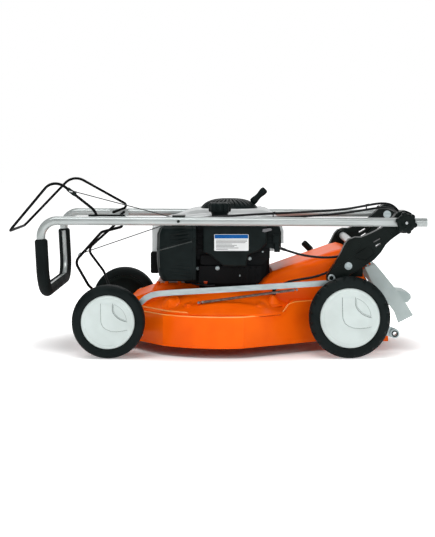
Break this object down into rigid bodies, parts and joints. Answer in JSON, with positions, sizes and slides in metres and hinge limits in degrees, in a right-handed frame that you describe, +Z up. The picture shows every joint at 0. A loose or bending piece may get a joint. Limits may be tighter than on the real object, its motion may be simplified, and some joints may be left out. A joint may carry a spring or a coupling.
{
  "type": "lawn mower",
  "caption": "Walk-behind petrol lawn mower with pressed deck, four wheels, central height setting and a handle folded forward over the engine.",
  "frame": {"origin": "on the ground below the middle of the bounding box", "axes": "+X to the mower's rear, -Y to its left side, +Z up"},
  "size_m": [1.0517, 0.5, 0.4336],
  "materials": {
    "deck_paint": "gloss",
    "black_plastic": "satin",
    "tube_silver": "satin",
    "zinc_steel": "satin",
    "ring_black": "satin",
    "gear_case": "matte",
    "blade_steel": "satin",
    "engine_black": "matte",
    "engine_plastic": "satin",
    "shroud_silver": "satin",
    "guard_metal": "matte",
    "screw_steel": "satin",
    "rope": "matte",
    "flap_plastic": "satin",
    "grip_foam": "matte",
    "bail_black": "gloss",
    "cable_black": "satin",
    "tyre_rubber": "matte",
    "rim_plastic": "satin",
    "cover_plastic": "satin"
  },
  "bodies": {
    "chassis": {"deck_housing": "deck_paint", "console_left": "black_plastic", "console_right": "black_plastic", "carry_bar": "tube_silver", "chassis_bolts": "zinc_steel", "clamp_bolts": "zinc_steel", "axle_brackets": "zinc_steel", "lug_rings": "ring_black", "assist_spring": "zinc_steel", "engine_block": "engine_black", "cylinder_head": "engine_black", "blower_shroud": "shroud_silver", "recoil_cover": "engine_plastic", "air_filter_cover": "engine_plastic", "fuel_tank": "engine_plastic", "muffler_guard": "guard_metal", "engine_screws": "screw_steel", "control_bracket": "zinc_steel", "flap_pin": "zinc_steel", "drive_cable_lower": "cable_black", "stop_cable_lower": "cable_black", "cable_gland": "black_plastic", "starter_rope": "rope"},
    "handle": {"handle_tube": "tube_silver", "handle_grip": "grip_foam", "bail_holder": "black_plastic", "cable_clip": "black_plastic", "drive_cable_upper": "cable_black", "stop_cable_upper": "cable_black"},
    "drive_bail": {"drive_bail": "bail_black", "drive_bail_clamp": "ring_black"},
    "stop_bail": {"stop_bail": "bail_black", "stop_bail_hook": "ring_black"},
    "drive_wire": {"drive_wire": "zinc_steel"},
    "stop_wire": {"stop_wire": "zinc_steel"},
    "knob_left": {"knob_left": "black_plastic"},
    "knob_right": {"knob_right": "black_plastic"},
    "front_axle": {"front_axle": "zinc_steel"},
    "rear_axle": {"rear_axle": "zinc_steel", "drive_gearbox": "gear_case"},
    "link_bar": {"link_bar": "zinc_steel"},
    "height_lever": {"height_lever": "zinc_steel", "height_knob": "black_plastic"},
    "flap": {"flap": "flap_plastic"},
    "cutter": {"blade": "blade_steel", "blade_adapter": "blade_steel"},
    "fuel_cap": {"fuel_cap": "engine_plastic"},
    "starter_grip": {"starter_grip": "engine_plastic"},
    "wheel_front_left": {"tyre_front_left": "tyre_rubber", "rim_front_left": "rim_plastic", "cover_front_left": "cover_plastic"},
    "wheel_front_right": {"tyre_front_right": "tyre_rubber", "rim_front_right": "rim_plastic", "cover_front_right": "cover_plastic"},
    "wheel_rear_left": {"tyre_rear_left": "tyre_rubber", "rim_rear_left": "rim_plastic", "cover_rear_left": "cover_plastic"},
    "wheel_rear_right": {"tyre_rear_right": "tyre_rubber", "rim_rear_right": "rim_plastic", "cover_rear_right": "cover_plastic"}
  },
  "joints": [
    {"name": "handle_fold", "type": "hinge", "parent": "chassis", "child": "handle", "pos_m": [0.4715, 0, 0.3315], "axis": [0, 1, 0], "range_deg": [0, 140]},
    {"name": "knob_left_turn", "type": "hinge", "parent": "chassis", "child": "knob_left", "pos_m": [0.4715, -0.228, 0.3315], "axis": [0, -1, 0], "continuous": true},
    {"name": "knob_right_turn", "type": "hinge", "parent": "chassis", "child": "knob_right", "pos_m": [0.4715, 0.228, 0.3315], "axis": [0, 1, 0], "continuous": true},
    {"name": "drive_bail_swing", "type": "hinge", "parent": "handle", "child": "drive_bail", "pos_m": [-0.288, 0, 0.3358], "axis": [0, -1, 0], "range_deg": [0, 41], "stiffness_Nm_per_rad": 2, "springref_deg": -34.38},
    {"name": "stop_bail_swing", "type": "hinge", "parent": "handle", "child": "stop_bail", "pos_m": [-0.259, 0, 0.3358], "axis": [0, 1, 0], "range_deg": [0, 43], "stiffness_Nm_per_rad": 2, "springref_deg": -22.92},
    {"name": "drive_wire_swing", "type": "hinge", "parent": "drive_bail", "child": "drive_wire", "pos_m": [-0.355, -0.178, 0.408], "axis": [0, 1, 0], "range_deg": [0, 41]},
    {"name": "stop_wire_swing", "type": "hinge", "parent": "stop_bail", "child": "stop_wire", "pos_m": [-0.335, -0.17, 0.2506], "axis": [0, -1, 0], "range_deg": [0, 43]},
    {"name": "height_front", "type": "hinge", "parent": "chassis", "child": "front_axle", "pos_m": [-0.204, 0, 0.065], "axis": [0, -1, 0], "range_deg": [0, 48], "deforming": ["assist_spring"]},
    {"name": "height_rear", "type": "hinge", "parent": "chassis", "child": "rear_axle", "pos_m": [0.3873, 0, 0.075], "axis": [0, -1, 0], "range_deg": [0, 48]},
    {"name": "link_bar_swing", "type": "hinge", "parent": "front_axle", "child": "link_bar", "pos_m": [-0.209, -0.1955, 0.115], "axis": [0, -1, 0], "range_deg": [-48, 0]},
    {"name": "lever_swing", "type": "hinge", "parent": "chassis", "child": "height_lever", "pos_m": [0.3, 0.193, 0.19], "axis": [0, -1, 0], "range_deg": [0, 31]},
    {"name": "flap_swing", "type": "hinge", "parent": "chassis", "child": "flap", "pos_m": [0.388, 0, 0.219], "axis": [0, -1, 0], "range_deg": [0, 55], "stiffness_Nm_per_rad": 1.5, "springref_deg": -34.38},
    {"name": "cutter_spin", "type": "hinge", "parent": "chassis", "child": "cutter", "pos_m": [0.022, 0, 0.042], "axis": [0, 0, -1], "continuous": true},
    {"name": "fuel_cap_turn", "type": "hinge", "parent": "chassis", "child": "fuel_cap", "pos_m": [0.013, -0.13, 0.365], "axis": [0, 0, 1], "range_deg": [0, 270]},
    {"name": "starter_pull", "type": "slide", "parent": "chassis", "child": "starter_grip", "axis": [0.7071, 0, 0.7071], "range_m": [0, 0.6], "stiffness_N_per_m": 12, "springref_m": -0.4, "deforming": ["starter_rope"]},
    {"name": "wheel_front_left_roll", "type": "hinge", "parent": "front_axle", "child": "wheel_front_left", "pos_m": [-0.259, -0.227, 0.09], "axis": [0, 1, 0], "continuous": true},
    {"name": "wheel_front_right_roll", "type": "hinge", "parent": "front_axle", "child": "wheel_front_right", "pos_m": [-0.259, 0.227, 0.09], "axis": [0, 1, 0], "continuous": true},
    {"name": "wheel_rear_left_roll", "type": "hinge", "parent": "rear_axle", "child": "wheel_rear_left", "pos_m": [0.3323, -0.227, 0.1], "axis": [0, 1, 0], "continuous": true},
    {"name": "wheel_rear_right_roll", "type": "hinge", "parent": "rear_axle", "child": "wheel_rear_right", "pos_m": [0.3323, 0.227, 0.1], "axis": [0, 1, 0], "continuous": true}
  ],
  "couplings": [
    {"joint": "height_rear", "follows": "height_front", "ratio": 1},
    {"joint": "link_bar_swing", "follows": "height_front", "ratio": -1},
    {"joint": "lever_swing", "follows": "height_front", "ratio": 0.625},
    {"joint": "drive_wire_swing", "follows": "drive_bail_swing", "ratio": 0.691},
    {"joint": "stop_wire_swing", "follows": "stop_bail_swing", "ratio": 0.581}
  ]
}
